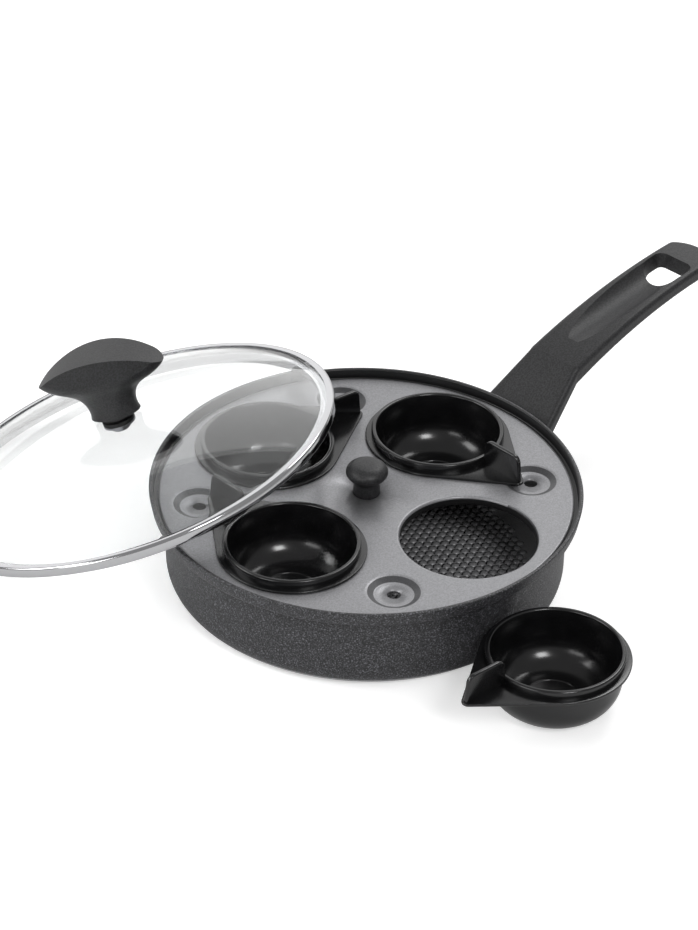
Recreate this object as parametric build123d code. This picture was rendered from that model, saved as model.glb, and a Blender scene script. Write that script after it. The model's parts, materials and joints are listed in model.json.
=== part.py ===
# Egg poacher pan: a 20 cm aluminium pan with a stay-cool handle, a drop-in tray that holds
# four lift-out cups, and a domed glass lid with a steel rim. The lid leans on the pan with
# its skirt on the table, and one cup stands on the table beside the pan.
# Millimetres, +Z up. The origin is the centre of the pan's base, on the table, and the
# handle points along +X.
import os
from math import atan2, cos, degrees, radians, sin, sqrt, tan

from build123d import *

# Pan
rim_radius = 104.0
pan_height = 49.4
lip_overhang = 7.5
lip_width = 2.2
lip_taper = 1.2
lip_depth = 6.8
neck_depth = 3.2
ledge_drop = 5.4
wall = 2.0
floor_thickness = 3.6
base_corner_radius = 11.0
lip_rounding = 0.7

# Perforated disc under the pan
disc_radius = 74.0
disc_thickness = 0.8
disc_hole_radius = 3.5
disc_hole_ring_shares = (0.3, 0.6, 0.88)
disc_holes_in_first_ring = 6

# Tray
tray_sheet = 1.2
tray_edge_gap = 2.5
tray_turn = 7.6
cup_places = 4
cup_web = 19.05
collar_depth = 4.6
collar_gap = 1.1
collar_rounding = 1.1
vent_dish_radius = 12.9
vent_pad_radius = 9.35
vent_dish_depth = 1.9
vent_hole_radius = 3.3
vent_wall_gap = 1.2

# Tray knob, its insert, screw and washer
knob_stem_radius = 6.65
knob_neck_radius = 6.0
knob_neck_height = 6.6
knob_head_radius = 10.35
knob_head_height = 12.1
knob_height = 16.6
knob_insert_radius = 3.4
knob_insert_length = 9.0
knob_insert_spare = 1.0
knob_screw_radius = 2.0
knob_screw_grip = 7.5
knob_screw_head_radius = 4.0
knob_screw_head_height = 2.4
knob_washer_radius = 6.2
knob_washer_thickness = 0.8

# Cups
cup_draft = 0.6
cup_depth = 24.4
cup_foot_radius = 16.0
cup_wall = 1.6
cup_hole_fit = 0.7
cup_ring_step = 0.65
cup_ring_height = 5.4
cup_ring_width = 2.35
cup_ring_rounding = 0.9
cup_flange_overlap = 2.8
cup_flange_thickness = 1.4
floor_ring_radius = 12.5
floor_ring_width = 1.0
floor_ring_height = 0.3
spout_length = 20.8
spout_tip_radius = 3.5
tab_turn = -99.3
tab_turn_by_lid = -108.2
tab_height = 15.2
tab_thickness = 2.4
tab_inner_overlap = 1.25
tab_inner_lean = 1.2
tab_outer_gap = 0.7
tab_outer_lean = 1.4
tab_inner_corner_radius = 4.2
tab_outer_corner_radius = 3.6
tab_edge_rounding = 0.7
loose_cup_gap = 1.0
loose_cup_azimuth = -95.5
loose_cup_turn = 173.5

# Handle
handle_root_inset = 4.5
handle_root_top = 28.5
handle_root_bottom = 14.0
handle_heel_reach = 2.9
handle_elbow_reach = 15.5
handle_bend_reach = 39.5
handle_bend_top = 60.7
handle_middle_along_share = 0.407
handle_middle_rise_share = 0.653
handle_end_reach = 152.6
handle_end_top = 78.3
handle_thickness = 8.0
handle_root_width = 50.0
handle_neck_width = 31.3
handle_end_width = 28.8
handle_end_bulge = 6.4
handle_end_corner_radius = 4.0
handle_top_rounding = 2.6
handle_bottom_rounding = 2.2
groove_radius = 14.1
groove_depth = 5.2
groove_shares = ((0.15, 0.0), (0.45, 0.66), (1.0, 1.0))
hang_hole_inset = 28.3
hang_hole_length = 17.6
hang_hole_width = 18.6
hang_hole_corner_radius = 3.0
hang_hole_draft = 14.0

# Handle bracket and screw
bracket_plate_thickness = 2.0
bracket_plate_width = 30.0
bracket_plate_bottom = 16.5
bracket_plate_top = 31.0
tongue_z = 25.5
tongue_angle = 40.0
tongue_length = 26.0
tongue_width = 15.0
tongue_thickness = 3.6
handle_screw_distance = 12.5
handle_screw_radius = 2.0
handle_screw_head_radius = 3.8
handle_screw_head_height = 2.2
handle_screw_grip = 4.0
handle_screw_access = 56.0

# Lid rim and glass
lid_band_height = 5.0
lid_skirt_gap = 5.3
lid_rim_height = 9.1
lid_rim_sheet = 0.6
lid_rim_rounding = 0.5
lid_lip_width = 3.4
lid_dome_rise = 21.6
lid_glass_thickness = 3.8
lid_glass_hole_radius = 4.0
lid_tilt = 19.2
lid_azimuth = 114.9
lid_rest_gap = 0.3

# Lid knob and its fixings
lid_knob_turn = 12.7
lid_knob_length = 64.6
lid_knob_width = 25.4
lid_knob_height = 34.0
lid_knob_arch = 11.5
lid_knob_end_shares = (0.84, 0.62)
lid_knob_base_length = 25.4
lid_knob_base_width = 17.4
lid_knob_section_shares = (
    (0.0, 1.0, 1.0),
    (0.26, 1.05, 1.06),
    (0.40, 1.36, 1.16),
    (0.52, 2.02, 1.32),
    (0.62, 2.44, 1.44),
    (1.05, 2.64, 1.52),
)
lid_seat_radius = 8.0
lid_seat_thickness = 1.0
lid_lower_seat_thickness = 2.0
lid_insert_radius = 4.2
lid_insert_length = 16.0
lid_screw_radius = 2.5
lid_screw_grip = 13.0
lid_screw_head_radius = 5.0
lid_screw_head_height = 3.0
lid_washer_radius = 8.0
lid_washer_thickness = 1.0

# Clearances shared by pieces that fit one another
thread_fit = 0.05
screw_hole_fit = 0.3
socket_fit = 0.15
overrun = 2.0

# Sizes that follow from the ones above
wall_radius = rim_radius - lip_overhang
inner_radius = wall_radius - wall
lip_inner_radius = rim_radius - lip_width
lip_bottom = pan_height - lip_depth
ledge_z = pan_height - ledge_drop
tray_radius = lip_inner_radius - tray_edge_gap
tray_top = ledge_z + tray_sheet
cup_step = 360 / cup_places
cup_field_radius = inner_radius - collar_gap - tray_sheet
cup_chord_share = 2 * sin(radians(cup_step / 2))
cup_hole_radius = (cup_field_radius * cup_chord_share - cup_web) / (2 + cup_chord_share)
cup_body_radius = cup_hole_radius - cup_hole_fit
cup_pitch_radius = cup_field_radius - cup_hole_radius
vent_pitch_radius = inner_radius - vent_wall_gap - vent_dish_radius
cup_flange_radius = cup_hole_radius + cup_flange_overlap
spout_reach = cup_flange_radius + spout_length
loose_cup_distance = wall_radius + cup_flange_radius + loose_cup_gap
handle_root_x = wall_radius - handle_root_inset
handle_heel_x = wall_radius + handle_heel_reach
handle_elbow_x = wall_radius + handle_elbow_reach
handle_bend_x = wall_radius + handle_bend_reach
handle_end_x = wall_radius + handle_end_reach
handle_middle_x = handle_bend_x + handle_middle_along_share * (handle_end_x - handle_bend_x)
handle_middle_top = handle_bend_top + handle_middle_rise_share * (handle_end_top - handle_bend_top)
hang_hole_share = 1 - hang_hole_inset / (handle_end_x - handle_bend_x)
handle_slope = atan2(handle_bend_top - handle_root_top, handle_bend_x - handle_root_x)
lid_radius = rim_radius
lid_lip_radius = lid_radius - lid_lip_width
lid_skirt_radius = lip_inner_radius - lid_skirt_gap
glass_radius = lid_radius - 2 * lid_rim_sheet
glass_top = lid_dome_rise - lid_rim_sheet
glass_bottom = glass_top - lid_glass_thickness
lid_knob_base = glass_top + lid_seat_thickness
standing = (Align.CENTER, Align.CENTER, Align.MIN)


def turned(outline):
    """A closed outline, drawn as radius and height, turned once round the Z axis."""
    return revolve(Plane.XZ * make_face(outline), Axis.Z)


def rod(radius, bottom, top):
    """A round bar along Z between two heights."""
    return Pos(0, 0, bottom) * Cylinder(radius, top - bottom, align=standing)


def polar(radius, azimuth, z=0):
    """A place at a radius and an azimuth, turned to face away from the Z axis."""
    return Pos(0, 0, z) * Rot(0, 0, azimuth) * Pos(radius, 0, 0)


def screw(shank_radius, head_radius, head_height, head_bottom, tip):
    """A pan-head screw that stands on its head, with its shank along Z."""
    head_top = head_bottom + head_height
    head = rod(head_radius, head_bottom, head_top)
    head = fillet(head.edges().group_by(Axis.Z)[0], head_height / 2)
    return head + rod(shank_radius, head_top, tip)


def pan_body():
    """Pressed pan: a flat base, a rounded corner, a steep wall and a stepped lip."""
    corner_x = wall_radius - base_corner_radius
    inner_corner = base_corner_radius - wall
    inner_corner_z = floor_thickness + inner_corner
    outline = Polyline(
        (corner_x, floor_thickness),
        (0, floor_thickness),
        (0, 0),
        (corner_x, 0),
    )
    outline += CenterArc((corner_x, base_corner_radius), base_corner_radius, -90, 90)
    outline += Polyline(
        (wall_radius, base_corner_radius),
        (wall_radius, lip_bottom - neck_depth),
        (rim_radius - lip_taper, lip_bottom),
        (rim_radius, pan_height),
        (lip_inner_radius, pan_height),
        (lip_inner_radius, ledge_z),
        (inner_radius, ledge_z),
        (inner_radius, inner_corner_z),
    )
    outline += CenterArc((corner_x, inner_corner_z), inner_corner, -90, 90)
    body = turned(outline)
    body = fillet(body.edges().filter_by(GeomType.CIRCLE).group_by(Axis.Z)[-1], lip_rounding)
    return body - rod(disc_radius + socket_fit, -overrun, disc_thickness)


def base_plate():
    """Perforated steel disc pressed flush into the pan's base, for induction hobs."""
    disc = rod(disc_radius, 0, disc_thickness)
    hole = rod(disc_hole_radius, -overrun, disc_thickness + overrun)
    for ring, share in enumerate(disc_hole_ring_shares, start=1):
        places = PolarLocations(disc_radius * share, disc_holes_in_first_ring * ring)
        disc -= [place * hole for place in places]
    return disc


def handle_tongue(fit=0.0):
    """The flat tongue that slopes up from the pan's wall into the handle."""
    tongue = Box(
        tongue_length + fit,
        tongue_width + 2 * fit,
        tongue_thickness + 2 * fit,
        align=(Align.MIN, Align.CENTER, Align.CENTER),
    )
    return Pos(wall_radius, 0, tongue_z) * Rot(0, -tongue_angle, 0) * tongue


def bracket_plate(fit=0.0):
    """The curved plate that is welded to the pan's wall."""
    height = bracket_plate_top - bracket_plate_bottom + 2 * fit
    bottom = bracket_plate_bottom - fit
    outer = wall_radius + bracket_plate_thickness + fit
    shell = rod(outer, bottom, bottom + height) - rod(wall_radius, bottom, bottom + height)
    window = Box(
        2 * outer,
        bracket_plate_width + 2 * fit,
        height,
        align=(Align.MIN, Align.CENTER, Align.MIN),
    )
    return shell & (Pos(0, 0, bottom) * window)


def handle_screw_place():
    """The screw's place in the tongue, with Z pointing up through the tongue."""
    return (
        Pos(wall_radius, 0, tongue_z)
        * Rot(0, -tongue_angle, 0)
        * Pos(handle_screw_distance, 0, 0)
    )


def handle_bracket():
    """Steel bracket: the welded plate and its tongue, drilled for the handle's screw."""
    bracket = bracket_plate() + handle_tongue()
    bracket -= rod(wall_radius, 0, pan_height)
    hole = rod(handle_screw_radius + thread_fit, -tongue_thickness, tongue_thickness)
    return bracket - handle_screw_place() * hole


def handle_screw():
    """Screw from the handle's underside through the tongue."""
    tip = tongue_thickness / 2 + handle_screw_grip - handle_screw_radius
    head_bottom = -tongue_thickness / 2 - handle_screw_head_height - socket_fit
    body = screw(
        handle_screw_radius,
        handle_screw_head_radius,
        handle_screw_head_height,
        head_bottom,
        tip,
    )
    return handle_screw_place() * body


def handle_top_line():
    """The line of the handle's top from the bend to the end."""
    return ThreePointArc(
        (handle_bend_x, handle_bend_top),
        (handle_middle_x, handle_middle_top),
        (handle_end_x, handle_end_top),
    )


def handle_side():
    """The handle seen from the side: a steep neck, a bend and a long gentle arch."""
    drop = handle_thickness / cos(handle_slope)
    elbow_top = handle_bend_top - tan(handle_slope) * (handle_bend_x - handle_elbow_x)
    outline = handle_top_line()
    outline += Polyline(
        (handle_bend_x, handle_bend_top),
        (handle_root_x, handle_root_top),
        (handle_root_x, handle_root_bottom),
        (handle_heel_x, handle_root_bottom),
        (handle_elbow_x, elbow_top - drop),
        (handle_bend_x, handle_bend_top - drop),
    )
    outline += ThreePointArc(
        (handle_bend_x, handle_bend_top - drop),
        (handle_middle_x, handle_middle_top - handle_thickness),
        (handle_end_x, handle_end_top - handle_thickness),
    )
    outline += Line(
        (handle_end_x, handle_end_top - handle_thickness),
        (handle_end_x, handle_end_top),
    )
    side = Plane.XZ * make_face(outline)
    return extrude(side, handle_root_width, both=True)


def handle_plan():
    """The handle seen from above: a wide root, a narrow neck and a bowed end."""
    root = handle_root_width / 2
    neck = handle_neck_width / 2
    end = handle_end_width / 2
    corner_x = handle_end_x - handle_end_bulge
    outline = Polyline(
        (corner_x, end),
        (handle_bend_x, neck),
        (handle_root_x, root),
        (handle_root_x, -root),
        (handle_bend_x, -neck),
        (corner_x, -end),
    )
    outline += ThreePointArc((corner_x, -end), (handle_end_x, 0), (corner_x, end))
    plan = make_face(outline)
    corners = plan.vertices().filter_by_position(Axis.X, corner_x, corner_x)
    plan = fillet(corners, handle_end_corner_radius)
    return extrude(plan, handle_end_top + overrun)


def hang_hole():
    """The hole to hang the pan by: round towards the pan, square at the far end, and wider
    at the handle's top, where the groove runs into it."""
    half = hang_hole_width / 2
    middle = handle_top_line() @ hang_hole_share
    along = handle_top_line() % hang_hole_share
    place = Pos(middle.X, 0, middle.Y) * Rot(0, -degrees(atan2(along.Y, along.X)), 0)
    start_x = -hang_hole_length / 2
    end_x = hang_hole_length / 2
    outline = CenterArc((start_x + half, 0), half, 90, 180)
    outline += Polyline(
        (start_x + half, -half), (end_x, -half), (end_x, half), (start_x + half, half)
    )
    hole = make_face(outline)
    hole = fillet(hole.vertices().group_by(Axis.X)[-1], hang_hole_corner_radius)
    hole = Pos(0, 0, -handle_thickness) * hole
    mouth = extrude(hole, handle_thickness + overrun, taper=-hang_hole_draft)
    return place * (mouth + extrude(hole, -overrun))


def thumb_groove():
    """The round-bottomed groove that runs down the handle's top into the hanging hole."""
    top = handle_top_line()
    points = []
    for along_share, depth_share in groove_shares:
        spot = top @ (along_share * hang_hole_share)
        points.append((spot.X, spot.Y + groove_radius - groove_depth * depth_share))
    path = Plane.XZ * ThreePointArc(*points)
    section = Plane(origin=path @ 0, z_dir=path % 0) * Circle(groove_radius)
    return sweep(section, path)


def lengthwise_edges(body, upward):
    """The handle's edges along its top faces (upward 1) or its underside (upward -1)."""
    steepest = cos(radians(60))
    faces = body.faces().filter_by(lambda face: upward * face.normal_at().Z > steepest)
    return faces.edges().filter_by(lambda edge: edge.bounding_box().size.X > socket_fit)


def handle():
    """Moulded heat-proof handle, with a socket for the bracket and its screw."""
    body = handle_side() & handle_plan()
    body = fillet(lengthwise_edges(body, 1), handle_top_rounding)
    body = fillet(lengthwise_edges(body, -1), handle_bottom_rounding)
    body -= thumb_groove()
    body -= hang_hole()
    body -= rod(wall_radius + socket_fit, -overrun, pan_height)
    body -= bracket_plate(socket_fit)
    body -= handle_tongue(socket_fit)
    head_room = rod(
        handle_screw_head_radius + socket_fit,
        -handle_screw_access,
        -tongue_thickness / 2 - socket_fit,
    )
    shank_room = rod(
        handle_screw_radius + thread_fit,
        -tongue_thickness,
        tongue_thickness / 2 + handle_screw_grip,
    )
    return body - handle_screw_place() * (head_room + shank_room)


def rounded_punch(radius, rounding):
    """What a punch with a rounded shoulder takes out of the tray's sheet."""
    shoulder = radius + rounding
    outline = Polyline(
        (radius, tray_top - rounding),
        (radius, ledge_z - collar_depth - overrun),
        (0, ledge_z - collar_depth - overrun),
        (0, tray_top + overrun),
        (shoulder, tray_top + overrun),
        (shoulder, tray_top),
    )
    outline += CenterArc((shoulder, tray_top - rounding), rounding, 90, 90)
    return turned(outline)


def vent_dish(top):
    """The tapered space of a vent dish, with its mouth at the given height."""
    dish = Cone(vent_pad_radius, vent_dish_radius, vent_dish_depth, align=standing)
    return Pos(0, 0, top - vent_dish_depth) * dish


def poacher_tray():
    """Pressed tray: a flat sheet with a collar at each cup hole and a dish at each vent."""
    tray = rod(tray_radius, ledge_z, tray_top)
    collar = rod(cup_hole_radius + tray_sheet, tray_top - collar_depth, tray_top)
    cup_hole = rounded_punch(cup_hole_radius, collar_rounding)
    vent_hole = rod(vent_hole_radius, ledge_z - collar_depth, tray_top)
    for number in range(cup_places):
        azimuth = tray_turn + number * cup_step
        tray += polar(cup_pitch_radius, azimuth) * collar
        tray += polar(vent_pitch_radius, azimuth + cup_step / 2) * vent_dish(ledge_z)
    for number in range(cup_places):
        azimuth = tray_turn + number * cup_step
        tray -= polar(cup_pitch_radius, azimuth) * cup_hole
        vent = vent_dish(tray_top) + vent_hole
        tray -= polar(vent_pitch_radius, azimuth + cup_step / 2) * vent
    return tray - rod(knob_screw_radius + screw_hole_fit, -overrun, tray_top + overrun)


def tray_knob():
    """Moulded knob: a waisted stem under a domed head, hollow for its insert."""
    neck_z = tray_top + knob_neck_height
    equator_z = tray_top + knob_head_height
    top = tray_top + knob_height
    outline = Polyline(
        (0, top),
        (0, tray_top),
        (knob_stem_radius, tray_top),
        (knob_neck_radius, neck_z),
    )
    outline += ThreePointArc(
        (knob_neck_radius, neck_z),
        ((knob_neck_radius + knob_head_radius) / 2, (neck_z + equator_z) / 2 - socket_fit),
        (knob_head_radius, equator_z),
    )
    dome = Bezier((knob_head_radius, equator_z), (knob_head_radius, top), (0, top))
    return turned(outline + dome) - rod(knob_insert_radius, tray_top, tray_top + knob_insert_length)


def tray_knob_insert():
    """Threaded brass insert in the knob."""
    insert = rod(knob_insert_radius, tray_top, tray_top + knob_insert_length)
    bore_top = tray_top + knob_screw_grip + knob_insert_spare
    return insert - rod(knob_screw_radius + thread_fit, tray_top, bore_top)


def tray_washer():
    """Washer under the tray's centre."""
    bottom = ledge_z - knob_washer_thickness
    washer = rod(knob_washer_radius, bottom, ledge_z)
    return washer - rod(knob_screw_radius + screw_hole_fit, bottom, ledge_z)


def tray_screw():
    """Screw that holds the knob, from below the tray."""
    head_bottom = ledge_z - knob_washer_thickness - knob_screw_head_height
    return screw(
        knob_screw_radius,
        knob_screw_head_radius,
        knob_screw_head_height,
        head_bottom,
        tray_top + knob_screw_grip,
    )


def cup_tab():
    """The upright tab that the cup is lifted by."""
    inner = cup_body_radius + cup_ring_step - tab_inner_overlap
    outer = spout_reach - tab_outer_gap
    top = cup_depth + tab_height
    outline = Polyline(
        (inner, cup_depth),
        (outer, cup_depth),
        (outer - tab_outer_lean, top),
        (inner + tab_inner_lean, top),
        close=True,
    )
    side = make_face(outline)
    top_corners = side.vertices().group_by(Axis.Y)[-1].sort_by(Axis.X)
    side = fillet(top_corners[:1], tab_inner_corner_radius)
    side = fillet(side.vertices().sort_by(Axis.X)[-2:-1], tab_outer_corner_radius)
    tab = extrude(Plane.XZ * side, tab_thickness / 2, both=True)
    edges = tab.edges().filter_by(Plane.XZ).group_by(Axis.Z)[1:]
    return fillet([edge for group in edges for edge in group], tab_edge_rounding)


def cup_flange():
    """The flat flange that rests on the tray, drawn out into a point under the tab."""
    tip_x = spout_reach - spout_tip_radius
    circles = Circle(cup_flange_radius) + Pos(tip_x, 0) * Circle(spout_tip_radius)
    outline = make_hull(circles.edges())
    return Pos(0, 0, cup_depth) * extrude(outline, cup_flange_thickness)


def egg_cup():
    """One cup in its own frame: it stands at the origin and its tab points along +X."""
    outer_arc = cup_body_radius - cup_draft - cup_foot_radius
    inner_arc = outer_arc - cup_wall
    ring_radius = cup_body_radius + cup_ring_step
    ring_top = cup_depth + cup_ring_height
    outline = CenterArc((cup_foot_radius, outer_arc), outer_arc, -90, 90)
    outline += Polyline(
        (cup_foot_radius + outer_arc, outer_arc),
        (cup_body_radius, cup_depth),
        (ring_radius, cup_depth),
        (ring_radius, ring_top),
        (ring_radius - cup_ring_width, ring_top),
        (cup_foot_radius + inner_arc, outer_arc),
    )
    outline += CenterArc((cup_foot_radius, outer_arc), inner_arc, -90, 90)
    outline += Polyline(
        (cup_foot_radius, cup_wall),
        (floor_ring_radius + floor_ring_width, cup_wall),
        (floor_ring_radius + floor_ring_width, cup_wall + floor_ring_height),
        (floor_ring_radius, cup_wall + floor_ring_height),
        (floor_ring_radius, cup_wall),
        (0, cup_wall),
        (0, 0),
        (cup_foot_radius, 0),
    )
    bowl = turned(outline)
    rim = bowl.edges().filter_by(GeomType.CIRCLE).group_by(Axis.Z)[-1]
    bowl = fillet(rim, cup_ring_rounding)
    flange = cup_flange() - rod(ring_radius - cup_ring_width / 2, 0, ring_top)
    tab = cup_tab()
    return bowl + flange + tab


def cup_places_in_tray():
    """Where the three cups in the tray stand. The fourth hole is the empty one."""
    places = []
    for number, turn in enumerate((tab_turn, tab_turn_by_lid, tab_turn)):
        azimuth = tray_turn + number * cup_step
        spot = polar(cup_pitch_radius, azimuth, tray_top - cup_depth)
        places.append(spot * Rot(0, 0, turn))
    return places


def loose_cup_place():
    """Where the fourth cup stands on the table."""
    spot = polar(loose_cup_distance, loose_cup_azimuth)
    return spot * Rot(0, 0, loose_cup_turn - loose_cup_azimuth)


def lid_place():
    """Where the lid leans: its skirt stands on the table, and passes over the pan's rim."""
    tilt = radians(lid_tilt)
    azimuth = radians(lid_azimuth)
    chord_from_centre = (pan_height + lid_rest_gap) / sin(tilt) - lid_skirt_radius
    half_chord = sqrt(lid_skirt_radius**2 - chord_from_centre**2)
    distance = sqrt(rim_radius**2 - half_chord**2) + chord_from_centre * cos(tilt)
    away = Vector(cos(azimuth), sin(azimuth), 0)
    normal = away * sin(tilt) + Vector(0, 0, cos(tilt))
    uphill = Vector(0, 0, sin(tilt)) - away * cos(tilt)
    skirt_centre = away * distance + Vector(0, 0, lid_skirt_radius * sin(tilt))
    return Plane(skirt_centre + normal * lid_rim_height, uphill, normal).location


def lid_rim():
    """Pressed steel band: it wraps the glass's edge and turns down into a skirt."""
    sheet = lid_rim_sheet
    inside = lid_radius - sheet
    outline = Polyline(
        (lid_lip_radius, 0),
        (lid_radius, 0),
        (lid_radius, -lid_band_height),
        (lid_skirt_radius, -lid_band_height),
        (lid_skirt_radius, -lid_rim_height),
        (lid_skirt_radius - sheet, -lid_rim_height),
        (lid_skirt_radius - sheet, sheet - lid_band_height),
        (inside, sheet - lid_band_height),
        (inside, -sheet),
        (lid_lip_radius, -sheet),
        close=True,
    )
    rim = turned(outline)
    crown = rim.edges().filter_by(GeomType.CIRCLE).filter_by(
        lambda edge: edge.radius > lid_radius - sheet / 2
    )
    return fillet(crown, lid_rim_rounding)


def glass_body():
    """The glass without its hole: a flat edge inside the steel band, and a shallow dome."""
    top_edge = -lid_rim_sheet
    bottom_edge = top_edge - lid_glass_thickness
    dome_edge = lid_lip_radius - lid_rim_sheet
    top_radius = (dome_edge**2 + lid_dome_rise**2) / (2 * lid_dome_rise)
    middle = dome_edge / 2
    middle_drop = top_radius - sqrt(top_radius**2 - middle**2)
    outline = Polyline(
        (dome_edge, top_edge),
        (glass_radius, top_edge),
        (glass_radius, bottom_edge),
        (dome_edge, bottom_edge),
    )
    outline += ThreePointArc(
        (dome_edge, bottom_edge), (middle, glass_bottom - middle_drop), (0, glass_bottom)
    )
    outline += Line((0, glass_bottom), (0, glass_top))
    outline += ThreePointArc(
        (0, glass_top), (middle, glass_top - middle_drop), (dome_edge, top_edge)
    )
    return turned(outline)


def lid_glass():
    """Domed tempered glass with a hole for the grip's screw."""
    return glass_body() - rod(lid_glass_hole_radius, 0, lid_knob_base)


def lid_knob():
    """Moulded grip: an oval foot that flares into two wings under an arched top."""
    top = lid_knob_base + lid_knob_height
    length = lid_knob_length / 2
    width = lid_knob_width / 2
    sections = []
    for height_share, length_share, width_share in lid_knob_section_shares:
        section = Ellipse(
            lid_knob_base_length / 2 * length_share, lid_knob_base_width / 2 * width_share
        )
        sections.append(Pos(0, 0, lid_knob_base + lid_knob_height * height_share) * section)
    body = loft(sections)
    arch = Polyline((length, 0), (length, top - lid_knob_arch))
    arch += ThreePointArc((length, top - lid_knob_arch), (0, top), (-length, top - lid_knob_arch))
    arch += Polyline((-length, top - lid_knob_arch), (-length, 0), (length, 0))
    body &= extrude(Plane.XZ * make_face(arch), lid_knob_width, both=True)
    end_length, end_width = lid_knob_end_shares
    shoulder_x = length * end_length
    shoulder_y = width * end_width
    plan = ThreePointArc((-shoulder_x, shoulder_y), (0, width), (shoulder_x, shoulder_y))
    plan += ThreePointArc((shoulder_x, shoulder_y), (length, 0), (shoulder_x, -shoulder_y))
    plan += ThreePointArc((shoulder_x, -shoulder_y), (0, -width), (-shoulder_x, -shoulder_y))
    plan += ThreePointArc((-shoulder_x, -shoulder_y), (-length, 0), (-shoulder_x, shoulder_y))
    body &= extrude(make_face(plan), top)
    body -= rod(lid_insert_radius, lid_knob_base, lid_knob_base + lid_insert_length)
    return Rot(0, 0, lid_knob_turn) * body


def lid_knob_insert():
    """Threaded brass insert in the grip."""
    top = lid_knob_base + lid_insert_length
    insert = rod(lid_insert_radius, lid_knob_base, top)
    return insert - rod(lid_screw_radius + thread_fit, lid_knob_base, top)


def lid_seat_top():
    """Seal between the glass and the grip."""
    seat = rod(lid_seat_radius, glass_top - lid_seat_thickness, lid_knob_base) - glass_body()
    return seat - rod(lid_screw_radius + screw_hole_fit, 0, lid_knob_base)


def lid_seat_bottom():
    """Seal between the glass and the washer."""
    bottom = glass_bottom - lid_lower_seat_thickness
    seat = rod(lid_seat_radius, bottom, glass_bottom) - glass_body()
    return seat - rod(lid_screw_radius + screw_hole_fit, 0, lid_knob_base)


def lid_washer():
    """Steel washer under the lid."""
    top = glass_bottom - lid_lower_seat_thickness
    washer = rod(lid_washer_radius, top - lid_washer_thickness, top)
    return washer - rod(lid_screw_radius + screw_hole_fit, 0, lid_knob_base)


def lid_screw():
    """Screw that holds the grip, from below the glass."""
    head_top = glass_bottom - lid_lower_seat_thickness - lid_washer_thickness
    return screw(
        lid_screw_radius,
        lid_screw_head_radius,
        lid_screw_head_height,
        head_top - lid_screw_head_height,
        lid_knob_base + lid_screw_grip,
    )


def all_parts():
    """Every piece of the pan, in its place."""
    parts = {
        "pan_body": pan_body(),
        "base_plate": base_plate(),
        "handle": handle(),
        "handle_bracket": handle_bracket(),
        "handle_screw": handle_screw(),
        "poacher_tray": poacher_tray(),
        "tray_knob": tray_knob(),
        "tray_knob_insert": tray_knob_insert(),
        "tray_washer": tray_washer(),
        "tray_screw": tray_screw(),
    }
    cup = egg_cup()
    for number, place in enumerate(cup_places_in_tray() + [loose_cup_place()], start=1):
        parts[f"egg_cup_{number}"] = place * cup
    lid_pieces = {
        "lid_rim": lid_rim(),
        "lid_glass": lid_glass(),
        "lid_knob": lid_knob(),
        "lid_knob_insert": lid_knob_insert(),
        "lid_seat_top": lid_seat_top(),
        "lid_seat_bottom": lid_seat_bottom(),
        "lid_washer": lid_washer(),
        "lid_screw": lid_screw(),
    }
    for name, piece in lid_pieces.items():
        parts[name] = lid_place() * piece
    return parts


os.makedirs("parts", exist_ok=True)
for name, part in all_parts().items():
    export_step(part, f"parts/{name}.step")
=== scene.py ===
# Egg poacher pan: the pan, its handle, the tray with four lift-out cups, and the glass lid.
# Metres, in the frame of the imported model, which gives every piece its place.
import json
from math import acos, atan2, cos, hypot, pi, radians, sin, sqrt

import bmesh
import bpy
from mathutils import Matrix, Quaternion, Vector


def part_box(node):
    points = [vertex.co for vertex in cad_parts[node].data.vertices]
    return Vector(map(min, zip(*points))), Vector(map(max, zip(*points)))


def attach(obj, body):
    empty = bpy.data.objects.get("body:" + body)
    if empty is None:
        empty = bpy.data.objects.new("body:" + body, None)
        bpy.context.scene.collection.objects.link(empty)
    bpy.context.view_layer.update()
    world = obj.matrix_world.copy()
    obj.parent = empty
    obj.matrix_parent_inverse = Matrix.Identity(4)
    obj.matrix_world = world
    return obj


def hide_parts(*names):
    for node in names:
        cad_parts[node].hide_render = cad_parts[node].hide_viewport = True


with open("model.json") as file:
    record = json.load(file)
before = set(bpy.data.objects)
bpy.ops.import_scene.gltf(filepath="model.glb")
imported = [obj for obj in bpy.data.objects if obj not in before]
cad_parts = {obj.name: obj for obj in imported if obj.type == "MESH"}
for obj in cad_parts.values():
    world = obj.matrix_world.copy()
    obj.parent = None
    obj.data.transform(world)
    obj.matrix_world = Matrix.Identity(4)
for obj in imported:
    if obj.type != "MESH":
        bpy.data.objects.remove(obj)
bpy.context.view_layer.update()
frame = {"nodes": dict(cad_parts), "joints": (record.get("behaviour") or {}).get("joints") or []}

# The pan. A round aluminium pan, pressed from one sheet. It is coated with a black
# non-stick with fine grey speckles outside and a grey one inside. Its lip is turned out
# and stepped, and its floor is pressed into a field of small round pimples.
mm = 0.001
weld = 0.002 * mm
pan_low, pan_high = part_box("pan_body")
tray_low, tray_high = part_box("poacher_tray")
rim_radius = (pan_high.x - pan_low.x) / 2
pan_height = pan_high.z
tray_top = tray_high.z
tray_sheet = 1.2 * mm
ledge_height = tray_top - tray_sheet
wall_radius = rim_radius - 7.5 * mm
inner_radius = wall_radius - 2.0 * mm
lip_inner_radius = rim_radius - 2.2 * mm
lip_bottom = pan_height - 6.8 * mm
floor_height = 3.6 * mm
pimple_pitch = 4.34 * mm
pimple_radius = 1.85 * mm
pimple_height = 0.75 * mm
pimple_field_radius = 83.5 * mm
pimple_turn = radians(-38.5)
pimple_ring_shares = ((1.0, 0.0), (0.86, 0.45), (0.52, 0.87))
disc_recess = 0.8 * mm
disc_seat_radius = 74.15 * mm
heel_rounding = 11 * mm
inner_heel_rounding = 9 * mm
lip_flare = 3.2 * mm
lip_lean = 1.2 * mm
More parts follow.
